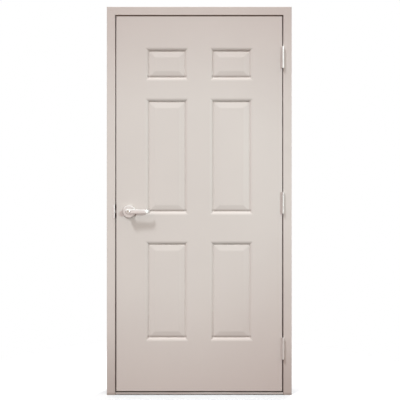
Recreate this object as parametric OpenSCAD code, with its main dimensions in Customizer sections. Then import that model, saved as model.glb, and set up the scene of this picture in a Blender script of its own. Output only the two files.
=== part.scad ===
// Six-panel front door hung in a formed steel frame, with butt hinges, a lever lock and a sill.
// X runs along the wall, Y goes into it from the face with the hinge barrels, Z up from the floor.

/* [Door leaf] */
// Width of the leaf
leaf_w = 901; // [840:1:1060]
// Height of the leaf
leaf_h = 2032; // [1960:1:2150]
// Thickness of the leaf
leaf_t = 44.5; // [42:0.5:52]
// Height of the leaf's lower edge above the floor
leaf_lift = 21.5; // [20:0.5:30]
// Thickness of each steel skin
skin_t = 0.7; // [0.5:0.1:1.2]
// Depth of the skin's hem along the lock and hinge edges
hem_w = 18; // [12:0.5:20]
// Outer radius of the bend between skin and hem
hem_bend_r = 2; // [1.5:0.1:3]
// Width of the wooden stiles
stile_w = 38; // [30:0.5:40]
// Height of the wooden top and bottom rails
rail_h = 40; // [30:1:80]
// Width of the lock block beside the lock stile
lock_block_w = 85; // [75:1:95]
// Height of the lock block
lock_block_h = 280; // [200:1:360]

/* [Panels] */
// Width of each panel, over its moulding
panel_w = 238; // [200:1:250]
// Width of the mullion between the two columns of panels
mullion_w = 112; // [90:1:150]
// Distance from the leaf's top to the top panels
top_margin = 168; // [120:1:190]
// Height of the top panels
top_panel_h = 183; // [150:1:200]
// Height of the cross rail below the top panels
cross_rail_h = 92; // [70:1:120]
// Height of the middle panels
middle_panel_h = 636; // [560:1:650]
// Height of the lock rail below the middle panels
lock_rail_h = 139; // [120:1:170]
// Height of the bottom panels
bottom_panel_h = 546; // [480:1:560]
// Width of the rounded moulding around a panel
ovolo_w = 20; // [12:0.5:24]
// Depth of the groove at the moulding's foot
groove_d = 9.5; // [6:0.5:12]
// Width of the groove's flat floor
groove_w = 2.5; // [1:0.5:4]
// Width of the quirk, the steep step from the groove to the bevel
quirk_w = 2.5; // [1:0.5:4]
// Height of the quirk
quirk_h = 2.5; // [1:0.5:3]
// Width of the bevel that rises to the raised field
bevel_w = 29; // [20:0.5:36]
// Depth of the raised field below the leaf's face
field_d = 3; // [1:0.5:4]
// Width of the rounding where the bevel meets the field
crest_w = 8; // [4:0.5:14]

/* [Frame] */
// Width of the frame's face
face_w = 46; // [38:0.5:60]
// Depth of the frame through the wall
frame_d = 124; // [118:1:200]
// Thickness of the frame's sheet steel
frame_t = 1.5; // [1.2:0.1:2]
// Outer radius of the frame's bends
frame_bend_r = 2.2; // [2.1:0.1:3]
// Height of the stop above the rabbet
stop_h = 16; // [14:0.5:20]
// Width of the stop's soffit
soffit_w = 35; // [28:1:50]
// Depth of the returns at the frame's outer edges
return_d = 12; // [8:0.5:20]
// Set-back of the leaf's face behind the frame's face
face_setback = 1.6; // [0.5:0.1:3]
// Gap between the leaf's edges and the jambs
side_gap = 4.7; // [3:0.1:6]
// Gap above the leaf
head_gap = 5; // [2.5:0.1:8]
// Open joint at the mitred corners
mitre_gap = 0.3; // [0.1:0.1:1]
// Diameter of the wall-anchor holes
anchor_d = 10.5; // [8:0.5:12]
// Distance of the outer wall anchors from the floor and from the head
anchor_end = 180; // [100:1:300]
// Wall thickness of the tubular anchor spacers
spacer_wall = 2.5; // [1.5:0.5:4]

/* [Seals and sill] */
// Space between the leaf's rear face and the stop, where the seal lies
seal_space = 3; // [2.4:0.1:5]
// Width of the seal
seal_w = 6.5; // [5:0.5:7]
// Height of the sill
sill_h = 15; // [13:0.5:16]
// Set-back of the sill's edges from the frame's faces
sill_setback = 0; // [0:0.5:6]
// Height of the sill's bevelled edges
sill_edge_h = 13; // [9:0.5:13]
// Height of the hollow under each nose of the sill
sill_under_h = 5.5; // [2:0.5:7]
// Depth of the hollow under each nose of the sill
sill_under_d = 6; // [2:0.5:10]
// Width of each bevelled side of the sill
sill_bevel_w = 8; // [6:1:30]
// Wall thickness of the hollow sill
sill_wall = 3; // [2:0.5:4]
// Width of the sill's middle rib
sill_rib_w = 14; // [10:1:20]
// Spacing of the flutes on the sill
flute_pitch = 7; // [5:0.5:10]
// Width of the sweep under the leaf
sweep_w = 36; // [28:1:38]
// Number of fins on the sweep
sweep_fins = 3; // [2:1:4]

/* [Hinges] */
// Height of each hinge
hinge_h = 114.3; // [95:0.1:130]
// Thickness of the hinge plates
hinge_t = 3.4; // [2.6:0.1:4]
// Diameter of the hinge barrel
barrel_d = 13; // [11:0.5:14]
// Diameter of the hinge pin
pin_d = 7; // [6:0.5:8]
// Distance of the pin's axis in front of the leaf's face
barrel_out = 12.5; // [11:0.5:16]
// Distance of the hinge plates' inner edge from the leaf's rear face
hinge_backset = 6.5; // [4:0.5:10]
// Distance from the leaf's top to the top hinge
hinge_drop = 168; // [120:1:220]
// Distance from the leaf's lower edge to the bottom hinge
hinge_rise = 176; // [120:1:300]
// Thickness of the reinforcements behind the hinges
hinge_backing_t = 4.5; // [3:0.5:6]
// Diameter of the hinge screws
hinge_screw_d = 5.4; // [4.5:0.1:6]
// Length of the screws into the frame
frame_screw_l = 13; // [11:0.5:20]
// Length of the screws into the leaf
leaf_screw_l = 28; // [18:0.5:32]

/* [Lock] */
// Distance of the lever's axis from the leaf's lock edge
backset = 70; // [65:0.5:75]
// Height of the lever's axis above the leaf's lower edge
lock_rise = 973; // [900:1:1050]
// Diameter of the bore through the leaf
bore_d = 54; // [52:0.5:58]
// Diameter of the bore in the leaf's lock edge
edge_bore_d = 25.4; // [24.6:0.2:27]
// Diameter of the lock chassis
chassis_d = 50; // [48:0.5:51]
// Diameter of the roses
rose_d = 70; // [64:1:76]
// Height of the roses
rose_h = 10; // [8:0.5:14]
// Length of the lever from its axis
lever_l = 118; // [100:1:130]
// Distance of the lever's arm from the leaf's face, to its middle
lever_out = 47; // [42:1:56]
// Diameter of the lever's shank
shank_d = 25; // [23:0.5:27]
// Diameter of the lever's hub
hub_d = 30; // [28:0.5:34]
// Distance of the hub's end face from the arm's middle
hub_cap = 12; // [10:0.5:16]
// Height of the arm where it leaves the hub
arm_root_h = 27; // [22:0.5:28]
// Height of the arm near its tip
arm_tip_h = 20; // [14:0.5:24]
// Thickness of the arm where it leaves the hub
arm_root_t = 17; // [12:0.5:18]
// Thickness of the arm near its tip
arm_tip_t = 11; // [8:0.5:14]
// How far the arm's tip curves back towards the leaf
arm_return = 13; // [0:0.5:16]
// Diameter of the spindle
spindle_d = 19; // [16:0.5:20]
// Diameter of the key plug
plug_d = 13; // [11:0.5:14]

/* [Latch and strike] */
// Travel of the latch bolt
latch_throw = 12.7; // [10:0.1:13]
// Thickness of the latch bolt
bolt_w = 12.6; // [11:0.1:13]
// Height of the latch bolt
bolt_h = 16; // [14:0.5:17]
// Height of the latch faceplate
faceplate_h = 57; // [50:1:64]
// Width of the latch faceplate
faceplate_w = 25.4; // [24:0.2:28]
// Thickness of the latch faceplate
faceplate_t = 2.6; // [2:0.1:3]
// Height of the strike plate
strike_h = 124; // [110:1:130]
// Width of the strike plate
strike_w = 32; // [28:0.5:34]
// Height of the strike plate's lip
lip_h = 75; // [40:1:90]
// Width of the lip over the frame's face
lip_w = 12; // [6:0.5:14]
// Depth of the dust box behind the strike
dust_box_d = 20; // [16:0.5:25]

/* [Hidden] */
$fn = 64;

// Colours of the finishes
paint_colour = "#d9cfc8";
bright_colour = "#e4e2de";
steel_colour = "#9fa3a6";
seal_colour = "#2e2b29";
sill_colour = "#c9c7c3";
wood_colour = "#c39a68";
foam_colour = "#e6d8a8";

// Overrun of every cut, and the clearances between pieces that meet
overrun = 2;
fit_gap = 0.25;
touch_gap = 0.3;
pin_clear = 0.05;
turn_clear = 0.08;
knuckle_gap = 0.4;
screw_clear = 0.12;
head_share = 1.9;
cross_l_share = 0.6;
cross_w_share = 0.2;
cross_depth_share = 0.35;

// Main planes and places
rabbet_d = face_setback + leaf_t + seal_space;
rabbet_x = leaf_w/2 + side_gap;
head_z = leaf_lift + leaf_h + head_gap;
front_y = -frame_d/2;
back_y = frame_d/2;
stop_y = front_y + rabbet_d;
soffit_y = stop_y + soffit_w;
leaf_y = front_y + face_setback;
leaf_back_y = leaf_y + leaf_t;
leaf_mid_y = leaf_y + leaf_t/2;
pin_x = rabbet_x - side_gap/2;
pin_y = leaf_y - barrel_out;
lock_x = -leaf_w/2 + backset;
lock_z = leaf_lift + lock_rise;
hinge_low_z = leaf_lift + hinge_rise + hinge_h/2;
hinge_high_z = leaf_lift + leaf_h - hinge_drop - hinge_h/2;
hinge_mid_z = (hinge_low_z + hinge_high_z)/2;
hinge_zs = [hinge_high_z, hinge_mid_z, hinge_low_z];
anchor_pitch = (head_z - 2*anchor_end)/3;
anchor_zs = [for (i = [0:3]) anchor_end + i*anchor_pitch];
anchor_y = stop_y + soffit_w/2;

// Sheet-metal outlines
bend_steps = 4;

function unit(v) = v/norm(v);
function right_of(v) = [v[1], -v[0]];
function turned(v, a) = [v[0]*cos(a) - v[1]*sin(a), v[0]*sin(a) + v[1]*cos(a)];
function arc(c, r, a0, a1) =
    [for (i = [0:bend_steps]) let (a = a0 + (a1 - a0)*i/bend_steps) c + r*[cos(a), sin(a)]];

// Points, each with the normal on its right, that round corner b of the path a, b, c
function bend(a, b, c, r) =
    let (
        along = unit(b - a),
        onward = unit(c - b),
        angle = atan2(along[0]*onward[1] - along[1]*onward[0], along*onward),
        side = sign(angle),
        centre = b - along*r*tan(abs(angle)/2) - right_of(along)*r*side
    )
    [for (i = [0:bend_steps]) let (n = turned(right_of(along), angle*i/bend_steps)) [centre + n*r*side, n]];

// A bent path as points with normals
function bent_path(p, r) =
    let (last = len(p) - 1)
    concat(
        [[p[0], right_of(unit(p[1] - p[0]))]],
        [for (i = [1:last - 1]) each bend(p[i - 1], p[i], p[i + 1], r)],
        [[p[last], right_of(unit(p[last] - p[last - 1]))]]
    );

// Section of a sheet whose seen face follows the path p and whose thickness lies on its right
module sheet_section(p, r, t) {
    path = bent_path(p, r);
    seen = [for (q = path) q[0]];
    hidden = [for (i = [len(path) - 1:-1:0]) path[i][0] + path[i][1]*t];
    polygon(concat(seen, hidden));
}

// Screw with its flat head's top at the origin and its shank down -Z; grow widens it into its hole
module flat_screw(d, length, grow = 0) {
    head_d = d*head_share;
    cone_h = (head_d - d)/2;
    translate([0, 0, -length])
        cylinder(d = d + 2*grow, h = length);
    translate([0, 0, -cone_h])
        cylinder(d1 = d + 2*grow, d2 = head_d + 2*grow, h = cone_h);
}

// The screw itself, with a cross in its head for the driver
module driven_screw(d, length) {
    cross_l = d*head_share*cross_l_share;
    cross_w = d*cross_w_share;
    difference() {
        flat_screw(d, length);
        for (turn = [0, 90])
            rotate(turn)
                translate([-cross_l/2, -cross_w/2, -d*cross_depth_share])
                    cube([cross_l, cross_w, d]);
    }
}

module screw_hole(d, length) {
    flat_screw(d, length, screw_clear);
    cylinder(d = d*head_share + 2*screw_clear, h = overrun);
}

// Things on the strike side are drawn on the hinge side and mirrored
module on_strike_side() {
    mirror([1, 0, 0])
        children();
}

// Things on the rear are drawn on the front and mirrored through the leaf's middle
module on_rear() {
    translate([0, 2*leaf_mid_y, 0])
        mirror([0, 1, 0])
            children();
}

// Lock pieces are drawn with their axis on Z, from the leaf's front face outwards
module on_lock_axis() {
    translate([lock_x, leaf_y, lock_z])
        rotate([90, 0, 0])
            children();
}

// Frame: one rolled section for the jambs and the head

frame_outline = [
    [face_w, front_y + return_d],
    [face_w, front_y],
    [0, front_y],
    [0, stop_y],
    [-stop_h, stop_y],
    [-stop_h, soffit_y],
    [0, soffit_y],
    [0, back_y],
    [face_w, back_y],
    [face_w, back_y - return_d]
];
mitre_reach = 2*(face_w + stop_h);

module frame_section() {
    sheet_section(frame_outline, frame_bend_r, frame_t);
}

// The space above the mitre line of the right-hand corner, or below it
module mitre_space(above) {
    lift = above ? -mitre_gap/2 : mitre_gap/2 - mitre_reach;
    translate([rabbet_x, front_y - overrun, head_z])
        rotate([0, -45, 0])
            translate([-mitre_reach, 0, lift])
                cube([2*mitre_reach, frame_d + 2*overrun, mitre_reach]);
}

module anchor_holes(d) {
    for (z = anchor_zs)
        translate([rabbet_x - stop_h - overrun, anchor_y, z])
            rotate([0, 90, 0])
                cylinder(d = d, h = frame_t + 2*overrun);
}

module jamb_blank() {
    difference() {
        translate([rabbet_x, 0, 0])
            linear_extrude(head_z + face_w)
                frame_section();
        mitre_space(true);
        anchor_holes(anchor_d);
    }
}

module hinge_jamb() {
    color(paint_colour)
        difference() {
            jamb_blank();
            for (z = hinge_zs)
                translate([rabbet_x - overrun, front_y - overrun, z - hinge_h/2 - fit_gap])
                    cube([
                        overrun + hinge_t + fit_gap,
                        overrun + plate_in_frame + fit_gap,
                        hinge_h + 2*fit_gap
                    ]);
        }
}

module strike_jamb() {
    color(paint_colour)
        on_strike_side()
            difference() {
                jamb_blank();
                translate([rabbet_x - overrun, leaf_mid_y, lock_z])
                    translate([0, -strike_w/2 - fit_gap, -strike_h/2 - fit_gap])
                        cube([frame_t + 2*overrun, strike_w + 2*fit_gap, strike_h + 2*fit_gap]);
                translate([rabbet_x - overrun, front_y - overrun, lock_z - lip_h/2 - fit_gap])
                    cube([overrun + lip_bend_r + fit_gap, overrun + strike_front, lip_h + 2*fit_gap]);
            }
}

module head_jamb() {
    color(paint_colour)
        difference() {
            translate([rabbet_x + face_w, 0, head_z])
                rotate([0, -90, 0])
                    linear_extrude(2*(rabbet_x + face_w))
                        frame_section();
            mitre_space(false);
            mirror([1, 0, 0])
                mitre_space(false);
        }
}

// Tubes that take the wall anchors' clamping force across the hollow jamb
module jamb_spacers() {
    length = face_w + stop_h - frame_t;
    for (z = anchor_zs)
        translate([rabbet_x + face_w - length, anchor_y, z])
            rotate([0, 90, 0])
                difference() {
                    cylinder(d = anchor_d + 2*spacer_wall, h = length);
                    translate([0, 0, -overrun])
                        cylinder(d = anchor_d, h = length + 2*overrun);
                }
}

module hinge_jamb_spacers() {
    color(steel_colour)
        jamb_spacers();
}

module strike_jamb_spacers() {
    color(steel_colour)
        on_strike_side()
            jamb_spacers();
}

// Sill: a hollow aluminium saddle, notched round the stops

sill_d = frame_d - 2*sill_setback;
sill_top_w = sill_d - 2*sill_bevel_w;
sill_end_share = 0.35;
sill_end_gap = frame_bend_r*sill_end_share;
flute_w_share = 0.3;
flute_d_share = 0.07;
sill_screw_d = 5;
sill_screw_end = 90;
sill_screws_n = 4;
sill_screw_l = 2*sill_h;

module sill_section() {
    foot_y = sill_d/2 - sill_under_d;
    hollow_y = min(foot_y - sill_wall, sill_top_w/2);
    flutes = floor(sill_top_w/flute_pitch/2)*2;
    flute_w = flute_pitch*flute_w_share;
    difference() {
        polygon([
            [-foot_y, 0],
            [foot_y, 0],
            [foot_y, sill_under_h],
            [sill_d/2, sill_under_h],
            [sill_d/2, sill_edge_h],
            [sill_top_w/2, sill_h],
            [-sill_top_w/2, sill_h],
            [-sill_d/2, sill_edge_h],
            [-sill_d/2, sill_under_h],
            [-foot_y, sill_under_h]
        ]);
        for (side = [0, 1])
            mirror([side, 0])
                translate([sill_rib_w/2, -overrun])
                    square([hollow_y - sill_rib_w/2, sill_h - sill_wall + overrun]);
        for (i = [0:flutes - 1])
            translate([(i - (flutes - 1)/2)*flute_pitch - flute_w/2, sill_h*(1 - flute_d_share)])
                square([flute_w, overrun]);
    }
}

sill_screw_pitch = 2*(rabbet_x - sill_screw_end)/(sill_screws_n - 1);
sill_screw_xs = [for (i = [0:sill_screws_n - 1]) sill_screw_end - rabbet_x + i*sill_screw_pitch];

module sill() {
    length = 2*(rabbet_x - sill_end_gap);
    color(sill_colour)
        difference() {
            translate([-length/2, 0, 0])
                rotate([90, 0, 90])
                    linear_extrude(length)
                        sill_section();
            for (side = [0, 1])
                mirror([side, 0, 0])
                    translate([rabbet_x - stop_h - sill_end_gap, stop_y - sill_end_gap, -overrun])
                        cube([stop_h + overrun, soffit_w + 2*sill_end_gap, sill_h + 2*overrun]);
            for (x = sill_screw_xs)
                translate([x, 0, sill_h])
                    screw_hole(sill_screw_d, sill_screw_l);
        }
}

// The screws end level with the floor side of the sill, where they enter their plugs
module sill_screws() {
    color(steel_colour)
        for (x = sill_screw_xs)
            translate([x, 0, sill_h])
                driven_screw(sill_screw_d, sill_h);
}

// Seals: flat-backed strips with a round face, stuck to the stops

seal_t = seal_space - touch_gap;
seal_side_share = 0.35;
seal_inset = (stop_h - side_gap - seal_w)/2;
seal_near = rabbet_x - stop_h + seal_inset;

module seal_section() {
    side_t = seal_t*seal_side_share;
    rise = seal_t - side_t;
    r = (seal_w*seal_w/4 + rise*rise)/(2*rise);
    half = asin(seal_w/2/r);
    crown = [for (i = [0:2*bend_steps]) let (a = half*(1 - i/bend_steps)) [r*sin(a), rise - r + r*cos(a)]];
    translate([seal_w/2, 0])
        polygon(concat([[-seal_w/2, -side_t], [seal_w/2, -side_t]], crown));
}

// A length of seal on the stop of the hinge jamb, with its round face towards the leaf
module jamb_seal() {
    translate([seal_near, stop_y - seal_t*seal_side_share, sill_h + touch_gap])
        linear_extrude(head_z - stop_h + seal_inset - sill_h - touch_gap)
            mirror([0, 1])
                seal_section();
}

module hinge_jamb_seal() {
    color(seal_colour)
        jamb_seal();
}

module strike_jamb_seal() {
    color(seal_colour)
        on_strike_side()
            jamb_seal();
}

module head_seal() {
    length = 2*(seal_near + seal_w);
    color(seal_colour)
        translate([length/2, stop_y - seal_t*seal_side_share, head_z - stop_h + seal_inset])
            rotate([0, -90, 0])
                linear_extrude(length)
                    mirror([0, 1])
                        seal_section();
}

// Hinges: five knuckles on a pin, three on the frame's plate and two on the leaf's

knuckles = 5;
knuckle_pitch = hinge_h/knuckles;
plate_l = barrel_out + leaf_t - hinge_backset;
plate_in_frame = plate_l - barrel_out + face_setback;
plate_start = barrel_d/2 + knuckle_gap;
screw_z_shares = [-0.36, -0.13, 0.13, 0.36];
screw_near_share = 0.52;
screw_far_share = 0.8;
pin_head_share = 0.25;
pin_side_share = 0.3;

// Places of the plate's screws, as distances from the pin and from the hinge's middle
hinge_screw_places = [
    for (i = [0:3]) [plate_l*(i % 2 == 0 ? screw_far_share : screw_near_share), hinge_h*screw_z_shares[i]]
];

module hinge_screw_heads() {
    for (p = hinge_screw_places)
        translate([side_gap/2, p[0], p[1]])
            rotate([0, -90, 0])
                children();
}

// Half a hinge about its pin on Z, with its plate on the +X side
module hinge_half(first_knuckle) {
    difference() {
        union() {
            translate([side_gap/2, plate_start, -hinge_h/2])
                cube([hinge_t, plate_l - plate_start, hinge_h]);
            for (k = [first_knuckle:2:knuckles - 1])
                translate([0, 0, (k - knuckles/2)*knuckle_pitch + knuckle_gap/2]) {
                    cylinder(d = barrel_d, h = knuckle_pitch - knuckle_gap);
                    translate([side_gap/2, 0, 0])
                        cube([hinge_t, plate_l/2, knuckle_pitch - knuckle_gap]);
                }
        }
        translate([0, 0, -hinge_h/2 - overrun])
            cylinder(d = pin_d + 2*pin_clear, h = hinge_h + 2*overrun);
        hinge_screw_heads()
            screw_hole(hinge_screw_d, hinge_t + overrun);
    }
}

module frame_plate(z) {
    color(bright_colour)
        translate([pin_x, pin_y, z])
            hinge_half(0);
}

module door_plate(z) {
    color(bright_colour)
        translate([pin_x, pin_y, z])
            mirror([1, 0, 0])
                hinge_half(1);
}

module hinge_pin(z) {
    seat = hinge_h/2 - knuckle_gap/2;
    head_h = barrel_d*pin_head_share;
    color(bright_colour)
        translate([pin_x, pin_y, z]) {
            cylinder(d = pin_d, h = 2*seat, center = true);
            for (side = [0, 1])
                mirror([0, 0, side])
                    translate([0, 0, seat])
                        rotate_extrude()
                            polygon(concat([[0, 0]], pin_head_outline(barrel_d/2, head_h)));
        }
}

// Half outline of a button tip: a short straight side under a round crown
function pin_head_outline(r, h) = concat(
    [[r, 0]],
    [for (i = [0:2*bend_steps])
        let (a = 90*i/(2*bend_steps))
        [r*cos(a), h*(pin_side_share + (1 - pin_side_share)*sin(a))]]
);

module top_hinge_frame_plate() { frame_plate(hinge_high_z); }
module middle_hinge_frame_plate() { frame_plate(hinge_mid_z); }
module bottom_hinge_frame_plate() { frame_plate(hinge_low_z); }
module top_hinge_door_plate() { door_plate(hinge_high_z); }
module middle_hinge_door_plate() { door_plate(hinge_mid_z); }
module bottom_hinge_door_plate() { door_plate(hinge_low_z); }
module top_hinge_pin() { hinge_pin(hinge_high_z); }
module middle_hinge_pin() { hinge_pin(hinge_mid_z); }
module bottom_hinge_pin() { hinge_pin(hinge_low_z); }

module frame_hinge_screws() {
    color(bright_colour)
        for (z = hinge_zs)
            translate([pin_x, pin_y, z])
                hinge_screw_heads()
                    driven_screw(hinge_screw_d, frame_screw_l);
}

module door_hinge_screws() {
    color(bright_colour)
        for (z = hinge_zs)
            translate([pin_x, pin_y, z])
                mirror([1, 0, 0])
                    hinge_screw_heads()
                        driven_screw(hinge_screw_d, leaf_screw_l);
}

// Joggled plates welded inside the hinge jamb, tapped for the hinge screws
backing_edge = 3.5;
backing_end = 45;
backing_w = rabbet_d - frame_t - 2*backing_edge;

module hinge_reinforcements() {
    height = hinge_h + 2*backing_end;
    color(steel_colour)
        for (z = hinge_zs)
            difference() {
                translate([rabbet_x + frame_t, front_y + frame_t + backing_edge, z - height/2])
                    cube([hinge_t - frame_t + hinge_backing_t, backing_w, height]);
                translate([rabbet_x, front_y, z - hinge_h/2 - fit_gap])
                    cube([hinge_t, plate_in_frame + fit_gap, hinge_h + 2*fit_gap]);
                translate([pin_x, pin_y, z])
                    hinge_screw_heads()
                        screw_hole(hinge_screw_d, frame_screw_l + overrun);
            }
}

// Leaf: embossed steel skins over wooden edges and a foam core

ovolo_steps = 8;
ovolo_angle = 72;
crest_steps = 4;
crest_middle_share = 1/2;
bevel_end = ovolo_w + groove_w + quirk_w + bevel_w;
bevel_slope = (groove_d - quirk_h - field_d)/bevel_w;
side_margin = (leaf_w - 2*panel_w - mullion_w)/2;
panel_xs = [-(panel_w + mullion_w)/2, (panel_w + mullion_w)/2];
top_panel_z = leaf_lift + leaf_h - top_margin - top_panel_h/2;
middle_panel_z = top_panel_z - top_panel_h/2 - cross_rail_h - middle_panel_h/2;
bottom_panel_z = middle_panel_z - middle_panel_h/2 - lock_rail_h - bottom_panel_h/2;
panel_rows = [
    [top_panel_z, top_panel_h],
    [middle_panel_z, middle_panel_h],
    [bottom_panel_z, bottom_panel_h]
];

// The embossed profile from a panel's outer edge to its field, as pairs of inset and depth
emboss_profile = concat(
    [[0, -overrun]],
    [for (i = [0:ovolo_steps])
        let (a = ovolo_angle*i/ovolo_steps)
        [ovolo_w*sin(a)/sin(ovolo_angle), groove_d*(1 - cos(a))/(1 - cos(ovolo_angle))]],
    [[ovolo_w + groove_w, groove_d], [ovolo_w + groove_w + quirk_w, groove_d - quirk_h]],
    [for (i = [0:crest_steps])
        let (t = crest_w*(i/crest_steps - crest_middle_share))
        [bevel_end + t, field_d + bevel_slope*pow(crest_w/2 - t, 2)/(2*crest_w)]]
);

function panel_ring(w, h, p) = [
    [p[0] - w/2, p[1], p[0] - h/2],
    [w/2 - p[0], p[1], p[0] - h/2],
    [w/2 - p[0], p[1], h/2 - p[0]],
    [p[0] - w/2, p[1], h/2 - p[0]]
];

// The hollow of one raised panel, as a solid that stands a little out of the leaf's face at y = 0
module panel_hollow(w, h) {
    rings = len(emboss_profile);
    polyhedron(
        points = [for (p = emboss_profile) each panel_ring(w, h, p)],
        faces = concat(
            [[3, 2, 1, 0]],
            [for (k = [0:rings - 2], j = [0:3])
                [4*k + j, 4*k + (j + 1) % 4, 4*k + 4 + (j + 1) % 4, 4*k + 4 + j]],
            [[for (j = [0:3]) 4*(rings - 1) + j]]
        )
    );
}

// All six hollows in the front face, sunk by the given depth
module panel_hollows(sunk) {
    for (x = panel_xs, row = panel_rows)
        translate([x, leaf_y + sunk, row[0]])
            panel_hollow(panel_w, row[1]);
}

// Plan outline of a skin and its two hems, drawn inside by the given amount
function skin_outline(inset, depth) = concat(
    [[inset - leaf_w/2, depth]],
    arc([hem_bend_r - leaf_w/2, hem_bend_r], hem_bend_r - inset, 180, 270),
    arc([leaf_w/2 - hem_bend_r, hem_bend_r], hem_bend_r - inset, 270, 360),
    [[leaf_w/2 - inset, depth]]
);

module lock_bore(d) {
    translate([lock_x, leaf_back_y + overrun, lock_z])
        rotate([90, 0, 0])
            cylinder(d = d, h = leaf_t + 2*overrun);
}

module edge_bore() {
    translate([-leaf_w/2 - overrun, leaf_mid_y, lock_z])
        rotate([0, 90, 0])
            cylinder(d = edge_bore_d, h = backset + overrun);
}

// Everything that is cut into the leaf's edges for the hinges and the latch
module edge_cuts() {
    for (z = hinge_zs)
        translate([leaf_w/2 - hinge_t, leaf_y - overrun, z - hinge_h/2 - fit_gap])
            cube([hinge_t + overrun, overrun + leaf_t - hinge_backset + fit_gap, hinge_h + 2*fit_gap]);
    translate([-leaf_w/2 - overrun, leaf_mid_y - faceplate_w/2 - fit_gap, lock_z - faceplate_h/2 - fit_gap])
        cube([faceplate_t + overrun, faceplate_w + 2*fit_gap, faceplate_h + 2*fit_gap]);
    edge_bore();
}

module leaf_skin() {
    difference() {
        translate([0, leaf_y, leaf_lift])
            linear_extrude(leaf_h)
                polygon(skin_outline(0, hem_w));
        difference() {
            translate([0, leaf_y, leaf_lift - overrun])
                linear_extrude(leaf_h + 2*overrun)
                    polygon(skin_outline(skin_t, hem_w + overrun));
            panel_hollows(skin_t);
        }
        panel_hollows(0);
        lock_bore(bore_d);
    }
}

module front_skin() {
    color(paint_colour)
        difference() {
            leaf_skin();
            edge_cuts();
        }
}

module rear_skin() {
    color(paint_colour)
        difference() {
            on_rear()
                leaf_skin();
            edge_cuts();
        }
}

// A stretch of the leaf's inside, between the skins, rounded as their hems are
module leaf_inside(x0, x1, z0, z1) {
    translate([0, leaf_y, z0])
        linear_extrude(z1 - z0)
            intersection() {
                polygon(concat(
                    skin_outline(skin_t, leaf_t/2),
                    [for (i = [0:2*bend_steps + 3])
                        let (p = skin_outline(skin_t, leaf_t/2)[2*bend_steps + 3 - i])
                        [p[0], leaf_t - p[1]]]
                ));
                translate([x0, 0])
                    square([x1 - x0, leaf_t]);
            }
}

inner_x = leaf_w/2 - skin_t;
leaf_top_z = leaf_lift + leaf_h;

module hinge_stile() {
    color(wood_colour)
        difference() {
            leaf_inside(inner_x - stile_w, inner_x, leaf_lift, leaf_top_z);
            edge_cuts();
            for (z = hinge_zs)
                translate([pin_x, pin_y, z])
                    mirror([1, 0, 0])
                        hinge_screw_heads()
                            screw_hole(hinge_screw_d, leaf_screw_l);
        }
}

module lock_stile() {
    color(wood_colour)
        difference() {
            leaf_inside(-inner_x, stile_w - inner_x, leaf_lift, leaf_top_z);
            edge_cuts();
            latch_screw_places()
                screw_hole(latch_screw_d, latch_screw_l);
        }
}

module top_rail() {
    color(wood_colour)
        leaf_inside(stile_w - inner_x, inner_x - stile_w, leaf_top_z - rail_h, leaf_top_z);
}

module bottom_rail() {
    color(wood_colour)
        leaf_inside(stile_w - inner_x, inner_x - stile_w, leaf_lift, leaf_lift + rail_h);
}

module lock_block_blank() {
    x0 = stile_w - inner_x;
    leaf_inside(x0, x0 + lock_block_w, lock_z - lock_block_h/2, lock_z + lock_block_h/2);
}

module lock_block() {
    color(wood_colour)
        difference() {
            lock_block_blank();
            lock_bore(bore_d);
            edge_bore();
        }
}

module foam_core() {
    color(foam_colour)
        difference() {
            leaf_inside(stile_w - inner_x, inner_x - stile_w, leaf_lift + rail_h, leaf_top_z - rail_h);
            panel_hollows(skin_t);
            on_rear()
                panel_hollows(skin_t);
            lock_block_blank();
        }
}

// Finned strip under the leaf that brushes the sill
sweep_base_share = 0.4;
sweep_fin_share = 0.05;

module door_sweep() {
    drop = leaf_lift - sill_h - touch_gap;
    fin_t = sweep_w*sweep_fin_share;
    pitch = (sweep_w - fin_t)/(sweep_fins - 1);
    length = leaf_w - 2*side_gap;
    color(seal_colour)
        translate([-length/2, leaf_mid_y - sweep_w/2, leaf_lift])
            rotate([90, 0, 90])
                linear_extrude(length)
                    mirror([0, 1]) {
                        square([sweep_w, drop*sweep_base_share]);
                        for (i = [0:sweep_fins - 1])
                            translate([i*pitch, 0])
                                square([fin_t, drop]);
                    }
}

// Latch: faceplate, case, spring and bolt in the lock edge

latch_screw_d = 4;
latch_screw_l = 22;
latch_screw_share = 0.36;
bolt_body_l = 18;
bolt_nose_share = 0.2;
bolt_clear = 0.3;
case_end_t = 3;
tail_w = 4;
tail_h = 8;
case_l = backset - chassis_d/2 - touch_gap - faceplate_t;
tail_end = backset - spindle_d/2 - latch_throw - touch_gap;
spring_wire_d = 1.1;
spring_turns = 7;
spring_sides = 6;
spring_steps = 10;

// The lock edge, with X into the leaf from its face and the latch's axis on X
module on_lock_edge() {
    translate([-leaf_w/2, leaf_mid_y, lock_z])
        children();
}

module latch_screw_places() {
    for (side = [-1, 1])
        on_lock_edge()
            translate([0, 0, side*faceplate_h*latch_screw_share])
                rotate([0, -90, 0])
                    children();
}

module bolt_passage(x0, x1) {
    on_lock_edge()
        translate([x0, -bolt_w/2 - bolt_clear, -bolt_h/2 - bolt_clear])
            cube([x1 - x0, bolt_w + 2*bolt_clear, bolt_h + 2*bolt_clear]);
}

module latch_faceplate() {
    color(bright_colour)
        difference() {
            on_lock_edge()
                translate([0, -faceplate_w/2, -faceplate_h/2])
                    cube([faceplate_t, faceplate_w, faceplate_h]);
            bolt_passage(-overrun, faceplate_t + overrun);
            latch_screw_places()
                screw_hole(latch_screw_d, faceplate_t + overrun);
        }
}

module latch_screws() {
    color(bright_colour)
        latch_screw_places()
            driven_screw(latch_screw_d, latch_screw_l);
}

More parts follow.
